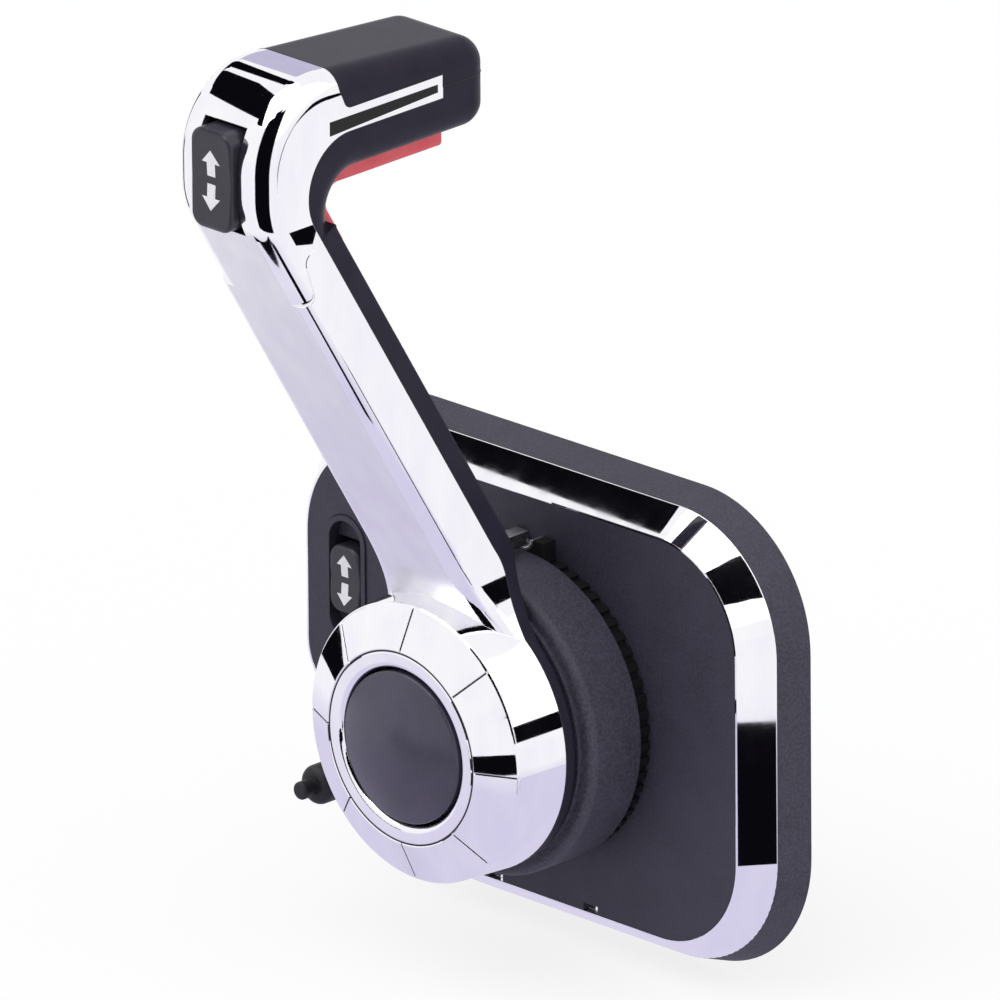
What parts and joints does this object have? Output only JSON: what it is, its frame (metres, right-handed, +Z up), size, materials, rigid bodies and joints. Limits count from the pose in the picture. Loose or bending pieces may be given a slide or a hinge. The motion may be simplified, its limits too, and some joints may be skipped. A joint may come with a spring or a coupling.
{
  "type": "boat throttle control lever",
  "caption": "Side-mount boat throttle and shift control: bright arm leaning out from a round hub, grip with neutral lock bar, trim rockers, panel with gear module behind.",
  "frame": {"origin": "on the lever's axis, in the plane of the boat's side that the panel is bolted to", "axes": "+X aft along the boat's side, -Y out of the panel towards the helmsman, +Z up"},
  "size_m": [0.2314, 0.239, 0.3506],
  "materials": {
    "textured_black": "fine moulded grain",
    "foam_rubber": "closed-cell foam",
    "bright_chrome": "mirror plated",
    "plate_black": "fine moulded grain",
    "lock_ring_black": "moulded",
    "bronze": "sintered bush",
    "washer_black": "smooth",
    "cast_aluminium": "sand-blasted casting",
    "stainless": "plain",
    "steel": "zinc plated",
    "rocker_black": "soft satin",
    "plain_black": "smooth",
    "satin_black": "satin",
    "button_black": "semi-gloss",
    "lock_red": "satin"
  },
  "bodies": {
    "panel": {"back_housing": "textured_black", "mounting_gasket": "foam_rubber", "chrome_bezel": "bright_chrome", "face_plate": "plate_black", "hub_disc": "textured_black", "neutral_lock_ring": "lock_ring_black", "front_bush": "bronze", "thrust_washer": "washer_black", "module_case": "cast_aluminium", "module_cover": "cast_aluminium", "tray_screws": "stainless", "cover_screws": "stainless", "rear_bush": "bronze", "shift_bush": "bronze", "cable_bracket": "stainless", "bracket_screws": "stainless", "panel_rocker_frame": "plate_black", "panel_rocker_pin": "stainless", "stop_switch_barrel": "plain_black", "stop_switch_collar": "plain_black"},
    "lever": {"arm_shell": "bright_chrome", "back_cover": "satin_black", "elbow_cap": "bright_chrome", "grip_cover": "satin_black", "handle_core": "plain_black", "hub_face_ring": "bright_chrome", "button_sleeve": "plain_black", "hub_shaft": "steel", "hub_screw": "steel", "drive_gear": "steel", "throttle_crank": "steel", "throttle_nut": "stainless", "handle_rocker_frame": "plain_black", "handle_rocker_pin": "stainless", "rod_guides": "plain_black"},
    "shift_train": {"shift_shaft": "steel", "shift_gear": "steel", "shift_crank": "steel", "shift_nut": "stainless"},
    "button": {"throttle_only_button": "button_black"},
    "trim_rocker_handle": {"handle_rocker": "rocker_black"},
    "trim_rocker_panel": {"panel_rocker": "rocker_black"},
    "lock_bar": {"neutral_lock_bar": "lock_red"},
    "lock_pin_rod": {"lock_rod": "steel"},
    "stop_plunger": {"stop_switch_plunger": "plain_black"}
  },
  "joints": [
    {"name": "lever_swing", "type": "hinge", "parent": "panel", "child": "lever", "pos_m": [0, 0, 0], "axis": [0, -1, 0], "range_deg": [-65, 85]},
    {"name": "shift_turn", "type": "hinge", "parent": "panel", "child": "shift_train", "pos_m": [0, 0, -0.03625], "axis": [0, -1, 0], "range_deg": [-43, 33]},
    {"name": "throttle_only_press", "type": "slide", "parent": "lever", "child": "button", "axis": [0, 1, 0], "range_m": [0, 0.004], "stiffness_N_per_m": 2500},
    {"name": "handle_trim_tilt", "type": "hinge", "parent": "lever", "child": "trim_rocker_handle", "pos_m": [0, -0.16552, 0.229], "axis": [1, 0, 0], "range_deg": [-7, 7], "stiffness_Nm_per_rad": 1.2},
    {"name": "panel_trim_tilt", "type": "hinge", "parent": "panel", "child": "trim_rocker_panel", "pos_m": [-0.0915, -0.017, 0.019], "axis": [1, 0, 0], "range_deg": [-7, 7], "stiffness_Nm_per_rad": 1},
    {"name": "lock_bar_squeeze", "type": "slide", "parent": "lever", "child": "lock_bar", "axis": [0, 0, 1], "range_m": [0, 0.003], "stiffness_N_per_m": 2500},
    {"name": "lock_rod_lift", "type": "slide", "parent": "lever", "child": "lock_pin_rod", "axis": [0, -0.5195, 0.8545], "range_m": [0, 0.0034]},
    {"name": "stop_plunger_press", "type": "slide", "parent": "panel", "child": "stop_plunger", "axis": [0, 1, 0], "range_m": [0, 0.004], "stiffness_N_per_m": 1500}
  ],
  "couplings": [
    {"joint": "shift_turn", "follows": "lever_swing", "ratio": -0.5},
    {"joint": "lock_rod_lift", "follows": "lock_bar_squeeze", "ratio": 1}
  ]
}
